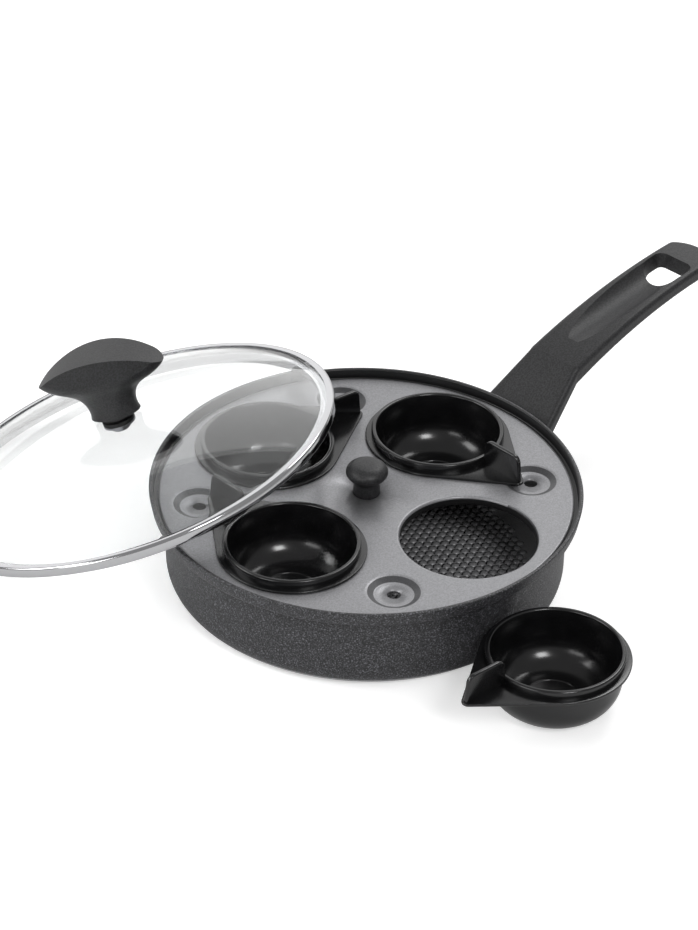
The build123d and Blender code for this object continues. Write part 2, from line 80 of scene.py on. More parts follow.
lip_rounding = 0.8 * mm
grey_coat_top = ledge_height - 0.7 * mm
black_coat_reach = rim_radius - 1.5 * mm


def rounded_wire(mesh, corners):
    """A run of edges through corners, each a radius, a height and the rounding it gets."""
    points = [mesh.verts.new((radius, 0, height)) for radius, height, rounding in corners]
    for pair in zip(points, points[1:]):
        mesh.edges.new(pair)
    for point, (radius, height, rounding) in zip(points, corners):
        if rounding:
            bmesh.ops.bevel(
                mesh,
                geom=[point],
                offset=rounding,
                offset_type="OFFSET",
                segments=4 if rounding < 2 * mm else 14,
                profile=0.5,
                affect="VERTICES",
                material=-1,
            )


def turned(corners, steps=192):
    """A rounded profile spun once round the Z axis."""
    mesh = bmesh.new()
    rounded_wire(mesh, corners)
    spin_round(mesh, steps)
    return mesh


def spin_round(mesh, steps):
    """Spins what the mesh holds once round the Z axis and closes its poles."""
    bmesh.ops.spin(
        mesh,
        geom=mesh.verts[:] + mesh.edges[:],
        cent=(0, 0, 0),
        axis=(0, 0, 1),
        angle=2 * pi,
        steps=steps,
        use_merge=True,
    )
    bmesh.ops.remove_doubles(mesh, verts=mesh.verts, dist=weld)
    bmesh.ops.recalc_face_normals(mesh, faces=mesh.faces)


def piece(name, mesh, body, nodes, materials, sharp_angle=35):
    """Makes the mesh a piece that rides on a body and stands for its nodes."""
    data = bpy.data.meshes.new(name)
    mesh.to_mesh(data)
    mesh.free()
    for material in materials:
        data.materials.append(material)
    data.shade_smooth()
    data.set_sharp_from_angle(angle=radians(sharp_angle))
    made = bpy.data.objects.new(name, data)
    bpy.context.scene.collection.objects.link(made)
    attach(made, body)
    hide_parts(*nodes)
    return made


def linear(colour):
    """The linear colour of an sRGB hex value."""
    channels = [int(colour[place:place + 2], 16) / 255 for place in (1, 3, 5)]
    return [c / 12.92 if c <= 0.04045 else ((c + 0.055) / 1.055) ** 2.4 for c in channels] + [1]


def add(tree, kind, settings=None, links=None):
    """Adds a node with its settings, by attribute or socket, and its links, by socket."""
    node = tree.nodes.new(kind)
    for name, value in (settings or {}).items():
        if isinstance(name, str) and hasattr(node, name):
            setattr(node, name, value)
        else:
            node.inputs[name].default_value = value
    for name, source in (links or {}).items():
        tree.links.new(source, node.inputs[name])
    return node


def new_tree(name):
    """A new material and its empty node tree."""
    material = bpy.data.materials.new(name)
    material.use_nodes = True
    material.node_tree.nodes.clear()
    return material, material.node_tree


def shades(tree, factor, stops):
    """Maps a factor to colours, given as pairs of place and hex value."""
    ramp = add(tree, "ShaderNodeValToRGB", {}, {"Fac": factor})
    elements = ramp.color_ramp.elements
    elements[0].position, elements[0].color = stops[0][0], linear(stops[0][1])
    elements[1].position, elements[1].color = stops[-1][0], linear(stops[-1][1])
    for place, colour in stops[1:-1]:
        elements.new(place).color = linear(colour)
    return ramp.outputs["Color"]


def scaled(size):
    """The texture scale at which one feature of a noise is about that size."""
    return 1 / size


def grained(name, stops, grain_size, grain_depth, roughness, metallic=0.0):
    """A finish with a fine grain that gives it its colours and its relief."""
    material, tree = new_tree(name)
    place = add(tree, "ShaderNodeTexCoord").outputs["Object"]
    grain = add(
        tree, "ShaderNodeTexNoise", {"Scale": scaled(grain_size), "Detail": 3.0}, {"Vector": place}
    )
    bump = add(
        tree,
        "ShaderNodeBump",
        {"Strength": 0.5, "Distance": grain_depth},
        {"Height": grain.outputs["Fac"]},
    )
    shader = add(
        tree,
        "ShaderNodeBsdfPrincipled",
        {"Roughness": roughness, "IOR": 1.5, "Metallic": metallic},
        {
            "Base Color": shades(tree, grain.outputs["Fac"], stops),
            "Normal": bump.outputs["Normal"],
        },
    )
    add(tree, "ShaderNodeOutputMaterial", {}, {"Surface": shader.outputs[0]})
    return material


def pimple_cell(mesh):
    """One six-sided cell of the floor with its pimple, at the origin."""
    cell_radius = pimple_pitch / sqrt(3)
    step = radians(30)
    cell = bmesh.ops.create_circle(mesh, cap_ends=True, radius=cell_radius, segments=12)["verts"]
    for vert in cell:
        if round(atan2(vert.co.y, vert.co.x) / step) % 2:
            vert.co *= cos(step)
    face = cell[0].link_faces[0]
    for radius_share, height_share in pimple_ring_shares:
        face = bmesh.ops.extrude_face_region(mesh, geom=[face])["geom"]
        face = [item for item in face if isinstance(item, bmesh.types.BMFace)][0]
        for vert in face.verts:
            spot = Vector((vert.co.x, vert.co.y, 0)).normalized() * pimple_radius * radius_share
            vert.co = (spot.x, spot.y, pimple_height * height_share)
    top = bmesh.ops.poke(mesh, faces=[face])["verts"][0]
    top.co.z = pimple_height
    for inner in [face for face in mesh.faces if len(face.verts) > 4]:
        mesh.faces.remove(inner)


def pimpled_floor(mesh):
    """Fills the floor's open middle with pimple cells and joins them to its edge."""
    cell = bmesh.new()
    pimple_cell(cell)
    cell_data = bpy.data.meshes.new("cell")
    cell.to_mesh(cell_data)
    cell.free()
    field = bmesh.new()
    row_step = pimple_pitch * sqrt(3) / 2
    rows = int(pimple_field_radius / row_step)
    columns = int(pimple_field_radius / pimple_pitch)
    for row in range(-rows, rows + 1):
        for column in range(-columns - 1, columns + 1):
            x = (column + (row % 2) / 2) * pimple_pitch
            y = row * row_step
            if hypot(x, y) > pimple_field_radius - pimple_pitch:
                continue
            start = len(field.verts)
            field.from_mesh(cell_data)
            field.verts.ensure_lookup_table()
            bmesh.ops.translate(field, vec=(x, y, 0), verts=field.verts[start:])
    bpy.data.meshes.remove(cell_data)
    turn = Matrix.Rotation(pimple_turn, 3, "Z")
    bmesh.ops.rotate(field, cent=(0, 0, 0), matrix=turn, verts=field.verts)
    bmesh.ops.translate(field, vec=(0, 0, floor_height), verts=field.verts)
    bmesh.ops.remove_doubles(field, verts=field.verts, dist=0.05 * mm)
    field_data = bpy.data.meshes.new("field")
    field.to_mesh(field_data)
    field.free()
    mesh.from_mesh(field_data)
    bpy.data.meshes.remove(field_data)
    gap = [
        edge
        for edge in mesh.edges
        if edge.is_boundary and abs(edge.verts[0].co.z - floor_height) < weld
    ]
    bmesh.ops.triangle_fill(mesh, use_beauty=True, edges=gap, normal=(0, 0, 1))


pan_mesh = turned(
    [
        (0, disc_recess, 0),
        (disc_seat_radius, disc_recess, 0),
        (disc_seat_radius, 0, 0.3 * mm),
        (wall_radius, 0, heel_rounding),
        (wall_radius, lip_bottom - lip_flare, 1.2 * mm),
        (rim_radius - lip_lean, lip_bottom, 1.0 * mm),
        (rim_radius, pan_height, lip_rounding),
        (lip_inner_radius, pan_height, lip_rounding),
        (lip_inner_radius, ledge_height, 0.6 * mm),
        (inner_radius, ledge_height, lip_rounding),
        (inner_radius, floor_height, inner_heel_rounding),
        (pimple_field_radius, floor_height, 0),
    ]
)
pimpled_floor(pan_mesh)
bmesh.ops.recalc_face_normals(pan_mesh, faces=pan_mesh.faces)
# The grey coat ends just under the ledge, and the smooth black one on the lip's top.
for face in pan_mesh.faces:
    middle = face.calc_center_median()
    reach = hypot(middle.x, middle.y)
    if reach < inner_radius + 0.5 * mm and middle.z > 2 * mm:
        face.material_index = 2 if middle.z < grey_coat_top else 1
    elif reach < black_coat_reach and middle.z > ledge_height - 0.3 * mm:
        face.material_index = 1
# Black non-stick with fine grey speckles, sprayed on and baked: satin and grainy. The
# speckles are drawn a little coarser than they are, so that they show.
speckled = grained(
    "speckled_nonstick",
    [(0.38, "#131314"), (0.5, "#28282a"), (0.62, "#4c4c50"), (0.74, "#7c7c82")],
    0.7 * mm,
    0.16 * mm,
    0.45,
)
# The same coat on the lip's inside, rolled smooth. On the tray it blackens the collars' walls as
# painted shade.
smooth_black_and_painted_shade = grained(
    "smooth_nonstick_and_painted_shade", [(0.3, "#0d0d0e"), (0.7, "#171718")], 0.6 * mm, 0.02 * mm, 0.4
)
# Grey non-stick with mica in it, on the floor and the wall inside.
mica = grained(
    "mica_nonstick", [(0.35, "#8a8a8c"), (0.65, "#9c9c9e")], 0.6 * mm, 0.02 * mm, 0.4, 0.2
)
pan_coats = [speckled, smooth_black_and_painted_shade, mica]
piece("pan_body_dressed", pan_mesh, "pan", ["pan_body"], pan_coats)

# The disc under the pan. A perforated stainless steel sheet, rolled into the soft
# aluminium of the base so that the pan also works on an induction hob. Rolling leaves it
# a dull, slightly warm grey.


def metal(name, colour, roughness, grain_size, grain_depth):
    """A metal with a fine grain that varies its gloss."""
    material, tree = new_tree(name)
    place = add(tree, "ShaderNodeTexCoord").outputs["Object"]
    grain = add(
        tree, "ShaderNodeTexNoise", {"Scale": scaled(grain_size), "Detail": 3.0}, {"Vector": place}
    )
    gloss = add(
        tree,
        "ShaderNodeMapRange",
        {"To Min": roughness * 0.8, "To Max": roughness * 1.2},
        {"Value": grain.outputs["Fac"]},
    )
    bump = add(
        tree,
        "ShaderNodeBump",
        {"Strength": 0.3, "Distance": grain_depth},
        {"Height": grain.outputs["Fac"]},
    )
    shader = add(
        tree,
        "ShaderNodeBsdfPrincipled",
        {"Base Color": linear(colour), "Metallic": 1.0},
        {"Roughness": gloss.outputs[0], "Normal": bump.outputs["Normal"]},
    )
    add(tree, "ShaderNodeOutputMaterial", {}, {"Surface": shader.outputs[0]})
    return material


def dress(material, *nodes):
    """Gives CAD nodes a material."""
    for node in nodes:
        for slot in frame["nodes"][node].material_slots:
            slot.material = material


dress(metal("rolled_stainless", "#b9b7b3", 0.38, 0.5 * mm, 0.01 * mm), "base_plate")

# The bracket and screws. The bracket is steel plate, spot-welded to the pan's wall, and
# the screws and washers are zinc-plated steel: a dull, slightly cool grey.
zinc = metal("zinc_plated_steel", "#a9abaf", 0.34, 0.8 * mm, 0.01 * mm)
dress(zinc, "handle_bracket", "handle_screw", "tray_screw", "tray_washer")

# The handle. Moulded phenolic plastic, charcoal black, with the fine grain of a sparked
# mould over its whole surface. It is pushed over the bracket and screwed from below.
phenolic = grained(
    "moulded_phenolic", [(0.38, "#09090a"), (0.62, "#252527")], 0.8 * mm, 0.14 * mm, 0.48
)
dress(phenolic, "handle")

# The tray. Pressed aluminium sheet, with a rounded collar at each cup hole and a shallow
# vent dish between the holes, under a satin grey non-stick with a fine metallic grain.
tray_radius = (tray_high.x - tray_low.x) / 2
cup_hole_radius = 32.6 * mm
cup_pitch = inner_radius - 1.1 * mm - tray_sheet - cup_hole_radius
vent_radius = 12.9 * mm
vent_pad_radius = 9.35 * mm
vent_depth = 1.9 * mm
vent_hole_radius = 3.3 * mm
vent_pitch = inner_radius - 1.2 * mm - vent_radius
vent_band = 1.4 * mm
vent_rounding = 0.9 * mm
vent_pad_rounding = 0.5 * mm
collar_depth = 4.6 * mm
collar_band = 1.6 * mm
collar_rounding = 1.3 * mm
tray_band = 1 * mm
tray_screw_hole_radius = 2.3 * mm
tray_turn = radians(7.6)
quarter = pi / 2


def polar(radius, angle, height=0.0):
    """A place at a radius and an angle round the Z axis."""
    return Vector((radius * cos(angle), radius * sin(angle), height))


def circle(mesh, centre, radius, segments):
    """A ring of edges round a centre."""
    made = bmesh.ops.create_circle(
        mesh, cap_ends=False, radius=radius, segments=segments, matrix=Matrix.Translation(centre)
    )
    return list({edge for vert in made["verts"] for edge in vert.link_edges})


def draw_in(mesh, edges, centre, radius, height):
    """Extrudes a ring of edges to another radius and height round its centre."""
    made = bmesh.ops.extrude_edge_only(mesh, edges=edges)["geom"]
    for vert in [item for item in made if isinstance(item, bmesh.types.BMVert)]:
        out = Vector((vert.co.x - centre.x, vert.co.y - centre.y, 0)).normalized()
        vert.co = centre + out * radius
        vert.co.z = height
    return [item for item in made if isinstance(item, bmesh.types.BMEdge)]


def soften(mesh, edges, width, segments=5):
    """Rounds edges over."""
    bmesh.ops.bevel(
        mesh,
        geom=edges,
        offset=width,
        offset_type="OFFSET",
        segments=segments,
        profile=0.5,
        affect="EDGES",
        material=-1,
    )


tray_mesh = bmesh.new()
top_centre = Vector((0, 0, tray_top))
outlines = [(circle(tray_mesh, top_centre, tray_radius - tray_band, 192), top_centre, "edge")]
for number in range(4):
    hole_centre = polar(cup_pitch, tray_turn + number * quarter, tray_top)
    vent_centre = polar(vent_pitch, tray_turn + (number + 0.5) * quarter, tray_top)
    hole = circle(tray_mesh, hole_centre, cup_hole_radius + collar_band, 96)
    vent = circle(tray_mesh, vent_centre, vent_radius + vent_band, 64)
    outlines += [(hole, hole_centre, "hole"), (vent, vent_centre, "vent")]
circle(tray_mesh, top_centre, tray_screw_hole_radius, 24)
flat_edges = tray_mesh.edges[:]
bmesh.ops.triangle_fill(tray_mesh, use_beauty=True, edges=flat_edges, normal=(0, 0, 1))
for edges, centre, kind in outlines:
    if kind == "edge":
        draw_in(tray_mesh, edges, centre, tray_radius, tray_top)
    elif kind == "hole":
        mouth = draw_in(tray_mesh, edges, centre, cup_hole_radius, tray_top)
        draw_in(tray_mesh, mouth, centre, cup_hole_radius, tray_top - collar_depth)
        soften(tray_mesh, mouth, collar_rounding)
    else:
        mouth = draw_in(tray_mesh, edges, centre, vent_radius, tray_top)
        pad = draw_in(tray_mesh, mouth, centre, vent_pad_radius, tray_top - vent_depth)
        draw_in(tray_mesh, pad, centre, vent_hole_radius, tray_top - vent_depth)
        soften(tray_mesh, mouth, vent_rounding)
        soften(tray_mesh, pad, vent_pad_rounding, 3)
bmesh.ops.recalc_face_normals(tray_mesh, faces=tray_mesh.faces)
if tray_mesh.faces[0].normal.z < 0:
    bmesh.ops.reverse_faces(tray_mesh, faces=tray_mesh.faces)
# The collars' walls get the black coat and the vent dishes' slopes a darker grey, both as painted
# shade in these hollows.
for face in tray_mesh.faces:
    middle = face.calc_center_median()
    if middle.z < tray_top - collar_rounding and abs(face.normal.z) < 0.2:
        face.material_index = 1
    elif tray_top - vent_depth + 0.1 * mm < middle.z < tray_top - 0.35 * mm:
        if abs(hypot(middle.x, middle.y) - vent_pitch) < vent_radius and face.normal.z < 0.93:
            face.material_index = 2
# The same grey non-stick with mica, and a darker grey painted on the vent dishes' slopes as
# painted shade.
satin = grained(
    "satin_grey_nonstick", [(0.3, "#808082"), (0.7, "#959598")], 0.7 * mm, 0.03 * mm, 0.4, 0.5
)
vent_painted_shade = grained(
    "painted_shade_grey_nonstick",
    [(0.3, "#404042"), (0.7, "#4c4c4e")],
    0.7 * mm,
    0.03 * mm,
    0.4,
    0.3,
)
tray_coats = [satin, smooth_black_and_painted_shade, vent_painted_shade]
tray = piece("tray_dressed", tray_mesh, "tray", ["poacher_tray"], tray_coats)
sheet = tray.modifiers.new("sheet", "SOLIDIFY")
sheet.thickness = tray_sheet
sheet.offset = -1
sheet.use_even_offset = True

# The tray's knob. Moulded from the same phenolic as the handle, round, with a waisted stem
# and a flat dome, over a brass insert that takes the screw from below.
knob_mesh = turned(
    [
        (0, tray_top, 0),
        (6.65 * mm, tray_top, 0.4 * mm),
        (6.0 * mm, tray_top + 7.2 * mm, 1.6 * mm),
        (9.7 * mm, tray_top + 9.9 * mm, 1.2 * mm),
        (10.35 * mm, tray_top + 12.4 * mm, 1.3 * mm),
        (8.6 * mm, tray_top + 15.6 * mm, 2.6 * mm),
        (4.5 * mm, tray_top + 16.5 * mm, 2.0 * mm),
        (0, tray_top + 16.6 * mm, 0),
    ],
    96,
)
piece("tray_knob_dressed", knob_mesh, "tray", ["tray_knob"], [phenolic], 50)
# Turned brass: yellow, and fairly bright.
brass = metal("machined_brass", "#c9a35a", 0.3, 0.3 * mm, 0.01 * mm)
dress(brass, "tray_knob_insert", "lid_knob_insert")

# The cups. Injection moulded in black nylon with a high gloss: a round bowl with a step
# and a ring round its mouth, a flat flange drawn out into a point, and an upright tab.
cup_radius = 31.9 * mm
cup_depth = 24.4 * mm
ring_radius = cup_radius + 0.65 * mm
ring_top = cup_depth + 5.4 * mm
ring_width = 2.35 * mm
cup_wall = 1.6 * mm
flange_radius = 35.4 * mm
flange_thickness = 1.4 * mm
spout_radius = 3.5 * mm
spout_length = 20.8 * mm
spout_reach = flange_radius + spout_length
tab_height = 15.2 * mm
tab_thickness = 2.4 * mm
tab_inner_rounding = 4.2 * mm
tab_outer_rounding = 3.6 * mm
tab_inner_lean = 1.2 * mm
tab_outer_lean = 1.4 * mm
tab_tip_gap = 0.7 * mm
tab_edge_rounding = 0.85 * mm
flange_edge_rounding = 0.4 * mm
bowl_draft = 0.6 * mm
bowl_rounding = 15.6 * mm
inner_bowl_rounding = 14 * mm
bowl_ring_radius = 13.1 * mm
bowl_ring_height = 0.35 * mm


def bowl(mesh):
    """The cup's bowl, in the cup's own frame."""
    rounded_wire(
        mesh,
        [
            (0, 0, 0),
            (cup_radius - bowl_draft, 0, bowl_rounding),
            (cup_radius, cup_depth, 0),
            (ring_radius, cup_depth, 0.2 * mm),
            (ring_radius, ring_top, 0.9 * mm),
            (ring_radius - ring_width, ring_top, 0.9 * mm),
            (cup_radius - bowl_draft - cup_wall, cup_wall, inner_bowl_rounding),
            (bowl_ring_radius + 0.6 * mm, cup_wall, 0.2 * mm),
            (bowl_ring_radius + 0.4 * mm, cup_wall + bowl_ring_height, 0.1 * mm),
            (bowl_ring_radius - 0.4 * mm, cup_wall + bowl_ring_height, 0.1 * mm),
            (bowl_ring_radius - 0.6 * mm, cup_wall, 0.2 * mm),
            (0, cup_wall, 0),
        ],
    )
    spin_round(mesh, 128)


def flange(mesh):
    """The flat flange round the ring, drawn out into a rounded point."""
    height = cup_depth + flange_thickness
    tangent = acos((flange_radius - spout_radius) / (spout_reach - spout_radius))
    outer = bmesh.ops.create_circle(mesh, cap_ends=False, radius=flange_radius, segments=128)
    for vert in outer["verts"]:
        angle = abs(atan2(vert.co.y, vert.co.x))
        if angle < tangent:
            vert.co /= cos(tangent - angle)
    tip = max(outer["verts"], key=lambda vert: vert.co.x)
    tip_offset = spout_radius * sin(tangent) / cos(tangent)
    bmesh.ops.bevel(
        mesh,
        geom=[tip],
        offset=tip_offset,
        offset_type="OFFSET",
        segments=8,
        profile=0.5,
        affect="VERTICES",
        material=-1,
    )
    circle(mesh, Vector((0, 0, 0)), ring_radius - ring_width / 2, 128)
    made = bmesh.ops.triangle_fill(mesh, use_beauty=True, edges=mesh.edges[:], normal=(0, 0, 1))
    faces = [item for item in made["geom"] if isinstance(item, bmesh.types.BMFace)]
    bmesh.ops.translate(mesh, vec=(0, 0, height), verts=mesh.verts)
    bmesh.ops.recalc_face_normals(mesh, faces=mesh.faces)
    down = bmesh.ops.extrude_face_region(mesh, geom=faces, use_keep_orig=True)["geom"]
    lower = [item for item in down if isinstance(item, bmesh.types.BMVert)]
    bmesh.ops.translate(mesh, vec=(0, 0, -flange_thickness), verts=lower)
    bmesh.ops.recalc_face_normals(mesh, faces=mesh.faces)
    sharp = [
        edge
        for edge in mesh.edges
        if len(edge.link_faces) == 2
        and edge.calc_face_angle() > radians(60)
        and edge.verts[0].co.xy.length > ring_radius
        and abs(edge.verts[0].co.z - edge.verts[1].co.z) < weld
    ]
    soften(mesh, sharp, flange_edge_rounding, 3)


def tab(mesh):
    """The upright tab that stands on the flange's point and on the ring."""
    inner = ring_radius - 1.25 * mm
    outer = spout_reach - tab_tip_gap
    top = cup_depth + tab_height
    start = cup_depth + 0.2 * mm
    corners = [
        (inner, start, 0),
        (outer, start, 0),
        (outer - tab_outer_lean, top, tab_outer_rounding),
        (inner + tab_inner_lean, top, tab_inner_rounding),
    ]
    points = [mesh.verts.new((x, -tab_thickness / 2, z)) for x, z, rounding in corners]
    for pair in zip(points, points[1:] + points[:1]):
        mesh.edges.new(pair)
    for point, (x, z, rounding) in zip(points, corners):
        if rounding:
            bmesh.ops.bevel(
                mesh,
                geom=[point],
                offset=rounding,
                offset_type="OFFSET",
                segments=8,
                profile=0.5,
                affect="VERTICES",
                material=-1,
            )
    face = bmesh.ops.contextual_create(mesh, geom=mesh.edges[:])["faces"]
    made = bmesh.ops.extrude_face_region(mesh, geom=face, use_keep_orig=True)["geom"]
    back = [item for item in made if isinstance(item, bmesh.types.BMVert)]
    bmesh.ops.translate(mesh, vec=(0, tab_thickness, 0), verts=back)
    bmesh.ops.recalc_face_normals(mesh, faces=mesh.faces)
    rims = [
        edge
        for edge in mesh.edges
        if abs(edge.verts[0].co.y - edge.verts[1].co.y) < weld
        and max(edge.verts[0].co.z, edge.verts[1].co.z) > start + weld
    ]
    soften(mesh, rims, tab_edge_rounding, 4)


def glossy_nylon():
    """Moulded nylon, polished mould: deep black with a high gloss and a faint ripple."""
    material, tree = new_tree("glossy_black_nylon")
    place = add(tree, "ShaderNodeTexCoord").outputs["Object"]
    ripple = add(
        tree, "ShaderNodeTexNoise", {"Scale": scaled(9 * mm), "Detail": 1.0}, {"Vector": place}
    )
    gloss = add(
        tree,
        "ShaderNodeMapRange",
        {"To Min": 0.16, "To Max": 0.24},
        {"Value": ripple.outputs["Fac"]},
    )
    colour = shades(tree, ripple.outputs["Fac"], [(0.3, "#0c0c0d"), (0.7, "#121213")])
    bump = add(
        tree,
        "ShaderNodeBump",
        {"Strength": 0.2, "Distance": 0.03 * mm},
        {"Height": ripple.outputs["Fac"]},
    )
    shader = add(
        tree,
        "ShaderNodeBsdfPrincipled",
        {"IOR": 1.53},
        {
            "Base Color": colour,
            "Roughness": gloss.outputs[0],
            "Normal": bump.outputs["Normal"],
        },
    )
    add(tree, "ShaderNodeOutputMaterial", {}, {"Surface": shader.outputs[0]})
    return material


nylon = glossy_nylon()
tab_turns = (-99.3, -108.2, -99.3)
loose_cup_gap = 1 * mm
loose_cup_azimuth = radians(-95.5)
loose_cup_turn = radians(173.5)
cup_spots = []
for number, turn in enumerate(tab_turns):
    angle = tray_turn + number * quarter
    spot = Matrix.Translation(polar(cup_pitch, angle, tray_top - cup_depth))
    cup_spots.append(spot @ Matrix.Rotation(angle + radians(turn), 4, "Z"))
loose_reach = wall_radius + flange_radius + loose_cup_gap
loose_spot = Matrix.Translation(polar(loose_reach, loose_cup_azimuth))
cup_spots.append(loose_spot @ Matrix.Rotation(loose_cup_turn, 4, "Z"))
for number, spot in enumerate(cup_spots, start=1):
    cup_mesh = bmesh.new()
    for build in (bowl, flange, tab):
        part = bmesh.new()
        build(part)
        part_data = bpy.data.meshes.new("part")
        part.to_mesh(part_data)
        part.free()
        cup_mesh.from_mesh(part_data)
        bpy.data.meshes.remove(part_data)
    bmesh.ops.transform(cup_mesh, matrix=spot, verts=cup_mesh.verts)
    name = f"egg_cup_{number}"
    piece(f"{name}_dressed", cup_mesh, f"cup_{number}", [name], [nylon], 40)

# The lid's rim. A band of stainless steel, rolled over the edge of the glass and turned
# down into a skirt, and polished like a mirror. The lid leans, so its pieces are made
# flat and then laid on its own plane.
lid_lift = next(joint for joint in frame["joints"] if joint["name"] == "lid_lift")
lid_axis = Vector(lid_lift["axis"]).normalized()
lid_tilt = acos(lid_axis.z)
lid_azimuth = atan2(lid_axis.y, lid_axis.x)
lid_radius = rim_radius
lip_radius = lid_radius - 3.4 * mm
skirt_radius = lip_inner_radius - 5.3 * mm
band_height = 5.0 * mm
rim_height = 9.1 * mm
rim_sheet = 0.6 * mm
lid_clearance = 0.3 * mm
chord_from_centre = (pan_height + lid_clearance) / sin(lid_tilt) - skirt_radius
half_chord = sqrt(skirt_radius**2 - chord_from_centre**2)
lid_distance = sqrt(rim_radius**2 - half_chord**2) + chord_from_centre * cos(lid_tilt)
lid_away = Vector((cos(lid_azimuth), sin(lid_azimuth), 0))
uphill = Vector((0, 0, sin(lid_tilt))) - lid_away * cos(lid_tilt)
lid_centre = (
    lid_away * lid_distance + Vector((0, 0, skirt_radius * sin(lid_tilt))) + lid_axis * rim_height
)
lid_place = Matrix.Translation(lid_centre) @ Matrix(
    (uphill, lid_axis.cross(uphill), lid_axis)
).transposed().to_4x4()


def polished_steel():
    """Stainless steel, rolled and buffed: a mirror with faint smears on it."""
    material, tree = new_tree("polished_stainless")
    place = add(tree, "ShaderNodeTexCoord").outputs["Object"]
    smear = add(
        tree, "ShaderNodeTexNoise", {"Scale": scaled(5 * mm), "Detail": 2.0}, {"Vector": place}
    )
    gloss = add(
        tree,
        "ShaderNodeMapRange",
        {"To Min": 0.06, "To Max": 0.14},
        {"Value": smear.outputs["Fac"]},
    )
    shader = add(
        tree,
        "ShaderNodeBsdfPrincipled",
        {"Base Color": linear("#bcbcbe"), "Metallic": 1.0},
        {"Roughness": gloss.outputs[0]},
    )
    add(tree, "ShaderNodeOutputMaterial", {}, {"Surface": shader.outputs[0]})
    return material


rim_mesh = bmesh.new()
rounded_wire(
    rim_mesh,
    [
        (lip_radius, 0, 0.1 * mm),
        (lid_radius, 0, 1.4 * mm),
        (lid_radius, -band_height, 0.5 * mm),
        (skirt_radius, -band_height, 0.4 * mm),
        (skirt_radius, -rim_height, 0.1 * mm),
        (skirt_radius - rim_sheet, -rim_height, 0.1 * mm),
        (skirt_radius - rim_sheet, rim_sheet - band_height, 0.2 * mm),
        (lid_radius - rim_sheet, rim_sheet - band_height, 0.2 * mm),
        (lid_radius - rim_sheet, -rim_sheet, 0.8 * mm),
        (lip_radius, -rim_sheet, 0.1 * mm),
    ],
)
ends = [vert for vert in rim_mesh.verts if len(vert.link_edges) == 1]
rim_mesh.edges.new(ends)
spin_round(rim_mesh, 256)
bmesh.ops.transform(rim_mesh, matrix=lid_place, verts=rim_mesh.verts)
steel = polished_steel()
piece("lid_rim_dressed", rim_mesh, "lid", ["lid_rim"], [steel])

# The lid's glass. Tempered soda-lime glass, pressed into a low dome, clear and nearly
# without colour. The steel rim is rolled over its edge.
dome_rise = 21.6 * mm
glass_thickness = 3.8 * mm
glass_edge = lip_radius - rim_sheet
glass_hole = 4.0 * mm


def dome_line(mesh, edge_height, top_height):
    """The dome's line from its edge in to the hole, drawn by turning one point."""
    rise = top_height - edge_height
    curve_radius = (glass_edge**2 + rise**2) / (2 * rise)
    middle = Vector((0, 0, top_height - curve_radius))
    start = mesh.verts.new((glass_edge, 0, edge_height))
    full = atan2(glass_edge, curve_radius - rise)
    hole = atan2(glass_hole, curve_radius)
    bmesh.ops.spin(mesh, geom=[start], cent=middle, axis=(0, -1, 0), angle=full - hole, steps=40)
    return start


def clear_glass():
    """Tempered glass: clear, smooth on both sides."""
    material, tree = new_tree("tempered_glass")
    shader = add(
        tree,
        "ShaderNodeBsdfPrincipled",
        {
            "Base Color": linear("#fafbfb"),
            "Roughness": 0.0,
            "IOR": 1.52,
            "Transmission Weight": 1.0,
        },
    )
    add(tree, "ShaderNodeOutputMaterial", {}, {"Surface": shader.outputs[0]})
    return material


glass_mesh = bmesh.new()
top_edge = dome_line(glass_mesh, -rim_sheet, dome_rise - rim_sheet)
bottom_edge = dome_line(
    glass_mesh, -rim_sheet - glass_thickness, dome_rise - rim_sheet - glass_thickness
)
outer_radius = lid_radius - 2 * rim_sheet
outer_top = glass_mesh.verts.new((outer_radius, 0, -rim_sheet))
outer_bottom = glass_mesh.verts.new((outer_radius, 0, -rim_sheet - glass_thickness))
hole_ends = [
    vert
    for vert in glass_mesh.verts
    if len(vert.link_edges) == 1 and vert not in (top_edge, bottom_edge)
]
for pair in ((top_edge, outer_top), (outer_top, outer_bottom), (outer_bottom, bottom_edge)):
    glass_mesh.edges.new(pair)
glass_mesh.edges.new(hole_ends)
spin_round(glass_mesh, 256)
bmesh.ops.transform(glass_mesh, matrix=lid_place, verts=glass_mesh.verts)
glass = clear_glass()
piece("lid_glass_dressed", glass_mesh, "lid", ["lid_glass"], [glass])

# The lid's grip and its fixings. The grip is moulded from the same phenolic as the handle,
# and a screw holds it through the glass, with a silicone seal on each side.
dress(phenolic, "lid_knob")
dress(zinc, "lid_washer", "lid_screw")
# Black silicone: matt and smooth.
silicone = grained(
    "black_silicone", [(0.3, "#141415"), (0.7, "#1c1c1d")], 1 * mm, 0.02 * mm, 0.6
)
dress(silicone, "lid_seat_top", "lid_seat_bottom")

# The studio. A white floor that keeps the object's shadows, a white backdrop for the
# camera and the glass, a wide panel behind, and four soft lamps.
camera_place = Vector((-0.9917, -0.9129, 0.9868))
camera_aim = Vector((0.6028, 0.5621, -0.5663))
camera_roll = radians(1.352)
camera_lens = 132.9
floor_size = 16.0
sky_level = 0.4
lamp_lit_reach = 0.4
unlit_reach = 0.9
lamp_lit_glow = 0.45
unlit_glow = 0.78


def studio_white(tree, background, lit):
    """White for the camera and the glass, and the plain level for all other light."""
    path = add(tree, "ShaderNodeLightPath")
    seen = add(
        tree,
        "ShaderNodeMath",
        {"operation": "MAXIMUM"},
        {0: path.outputs["Is Camera Ray"], 1: path.outputs["Is Transmission Ray"]},
    )
    level = add(
        tree, "ShaderNodeMapRange", {"To Min": lit, "To Max": 1.0}, {"Value": seen.outputs[0]}
    )
    return add(tree, background, {"Color": linear("#ffffff")}, {"Strength": level.outputs[0]})


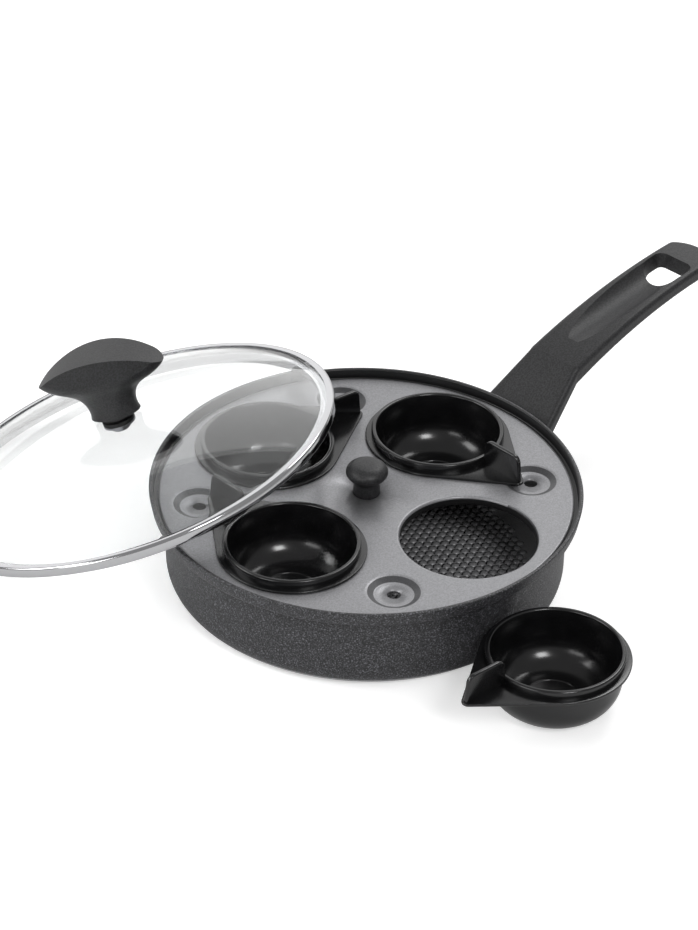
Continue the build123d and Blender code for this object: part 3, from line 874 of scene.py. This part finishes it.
world = bpy.data.worlds.new("studio")
world.use_nodes = True
world.node_tree.nodes.clear()
around = studio_white(world.node_tree, "ShaderNodeBackground", sky_level)
add(world.node_tree, "ShaderNodeOutputWorld", {}, {"Surface": around.outputs[0]})
bpy.context.scene.world = world

floor_mesh = bmesh.new()
bmesh.ops.create_grid(floor_mesh, x_segments=1, y_segments=1, size=floor_size / 2)
floor_data = bpy.data.meshes.new("floor")
floor_mesh.to_mesh(floor_data)
floor_mesh.free()
floor = bpy.data.objects.new("floor", floor_data)
bpy.context.scene.collection.objects.link(floor)
floor_paint, floor_tree = new_tree("white_paper")
paper = add(floor_tree, "ShaderNodeBsdfDiffuse", {"Color": linear("#e8e8e8")})
lift = studio_white(floor_tree, "ShaderNodeEmission", 0.0)
# The floor is as white far off as it is under the lamps.
spot = add(floor_tree, "ShaderNodeTexCoord").outputs["Object"]
reach = add(floor_tree, "ShaderNodeVectorMath", {"operation": "LENGTH"}, {0: spot})
glow = add(
    floor_tree,
    "ShaderNodeMapRange",
    {
        "From Min": lamp_lit_reach,
        "From Max": unlit_reach,
        "To Min": lamp_lit_glow,
        "To Max": unlit_glow,
    },
    {"Value": reach.outputs["Value"]},
)
floor_tree.links.new(glow.outputs[0], lift.inputs["Color"])
lifted = add(floor_tree, "ShaderNodeAddShader", {}, {0: paper.outputs[0], 1: lift.outputs[0]})
add(floor_tree, "ShaderNodeOutputMaterial", {}, {"Surface": lifted.outputs[0]})
floor_data.materials.append(floor_paint)


def softbox(name, place, size, power):
    """A soft lamp at a place, turned to the pan."""
    lamp = bpy.data.lights.new(name, "AREA")
    lamp.shape = "RECTANGLE"
    lamp.size, lamp.size_y = size
    lamp.energy = power
    made = bpy.data.objects.new(name, lamp)
    made.location = place
    made.rotation_euler = (-Vector(place)).to_track_quat("-Z", "Y").to_euler()
    bpy.context.scene.collection.objects.link(made)


softbox("left_light", (-1.25, 1.05, 1.15), (0.9, 0.9), 14)
softbox("right_light", (1.27, 0.22, 1.53), (0.7, 0.7), 10)
softbox("front_light", (-0.5, -1.35, 1.35), (0.5, 0.5), 12)
softbox("side_light", (-1.8, -0.15, 0.6), (0.8, 0.8), 8)
softbox("back_panel", (1.25, 1.45, 0.9), (3.2, 1.5), 15)

camera = bpy.data.objects.new("camera", bpy.data.cameras.new("camera"))
camera.data.sensor_fit = "VERTICAL"
camera.data.sensor_height = 36
camera.data.lens = camera_lens
camera.data.clip_end = 50
camera.location = camera_place
aimed = camera_aim.to_track_quat("-Z", "Y") @ Quaternion((0, 0, 1), camera_roll)
camera.rotation_euler = aimed.to_euler()
bpy.context.scene.collection.objects.link(camera)
bpy.context.scene.camera = camera
bpy.context.scene.view_settings.view_transform = "Standard"
